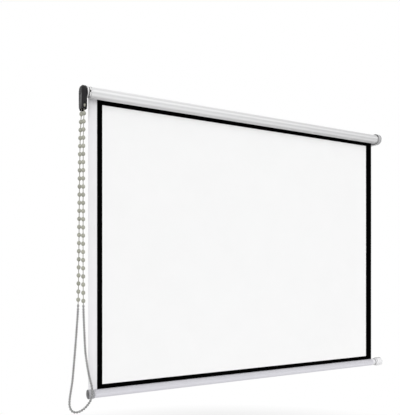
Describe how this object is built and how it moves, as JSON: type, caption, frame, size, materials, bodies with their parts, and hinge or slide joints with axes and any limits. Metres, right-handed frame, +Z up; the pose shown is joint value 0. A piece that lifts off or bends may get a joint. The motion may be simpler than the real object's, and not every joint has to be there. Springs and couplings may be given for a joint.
{
  "type": "pull down projector screen",
  "caption": "Chain-operated roller projector screen: white sheet with matt black borders, round bottom bar, folded end brackets and an endless bead chain.",
  "frame": {"origin": "on the wall plane, at the middle of the left bracket's wall flange, at the height of the roller's axis", "axes": "+X along the roller to the right as seen from the room, +Y into the wall, +Z up"},
  "size_m": [1.7005, 0.0985, 1.2554],
  "materials": {
    "black_steel": "black powder coat with a slight sheen",
    "black_plastic": "black moulded plastic, satin",
    "white_plastic": "white moulded plastic",
    "grey_plastic": "translucent grey plastic",
    "clear_plastic": "pale translucent plastic",
    "white_metal": "white coated tube, satin",
    "bright_steel": "zinc plated",
    "white_fabric": "matt white projection cloth",
    "hem_fabric": "white cloth, smooth back",
    "black_fabric": "matt black masking",
    "cream_bead": "cream plastic beads on a cord",
    "metal_bead": "dull grey metal beads"
  },
  "bodies": {
    "mount": {"left_bracket": "black_steel", "chain_guard": "black_plastic", "guard_screw_1": "bright_steel", "guard_screw_2": "bright_steel", "clutch_hub": "white_plastic", "hub_screw_1": "bright_steel", "hub_screw_2": "bright_steel", "hub_screw_3": "bright_steel", "right_bracket": "clear_plastic", "right_cover": "clear_plastic", "chain_on_wheel": "cream_bead", "chain_strand_rear": "cream_bead", "chain_strand_front": "cream_bead", "chain_connector_rear": "metal_bead", "chain_connector_front": "metal_bead", "chain_loop_lower": "metal_bead", "screen_fabric": "white_fabric", "border_top": "black_fabric", "border_bottom": "black_fabric", "border_left": "black_fabric", "border_right": "black_fabric"},
    "drive": {"chain_wheel": "black_plastic", "wheel_clip": "bright_steel"},
    "roller": {"roller_tube": "white_metal", "drive_crown": "white_plastic", "wrap_spring": "bright_steel", "fabric_spline": "white_plastic", "fabric_turns": "white_fabric", "idle_plug": "white_plastic", "idle_plug_cap": "white_plastic", "idle_spring": "bright_steel"},
    "pin": {"idle_pin": "bright_steel"},
    "bar": {"bottom_bar": "white_metal", "hem_sleeve": "hem_fabric", "bar_knob_left": "grey_plastic", "bar_cap_right": "clear_plastic"}
  },
  "joints": [
    {"name": "roller_turn", "type": "hinge", "parent": "mount", "child": "roller", "pos_m": [0, -0.0705, 0], "axis": [1, 0, 0], "range_deg": [0, 2643]},
    {"name": "chain_wheel_turn", "type": "hinge", "parent": "mount", "child": "drive", "pos_m": [0, -0.0705, 0], "axis": [1, 0, 0], "range_deg": [0, 2643], "deforming": ["chain_on_wheel"]},
    {"name": "bar_lift", "type": "slide", "parent": "mount", "child": "bar", "axis": [0, 0, 1], "range_m": [0, 1.1071], "deforming": ["screen_fabric", "border_top", "border_bottom", "border_left", "border_right"]},
    {"name": "idle_pin_press", "type": "slide", "parent": "roller", "child": "pin", "axis": [1, 0, 0], "range_m": [-0.008, 0], "stiffness_N_per_m": 300, "springref_m": 0.005, "deforming": ["idle_spring"]}
  ],
  "couplings": [
    {"joint": "bar_lift", "follows": "roller_turn", "m_per_rad": 0.024},
    {"joint": "chain_wheel_turn", "follows": "roller_turn", "ratio": 1}
  ]
}
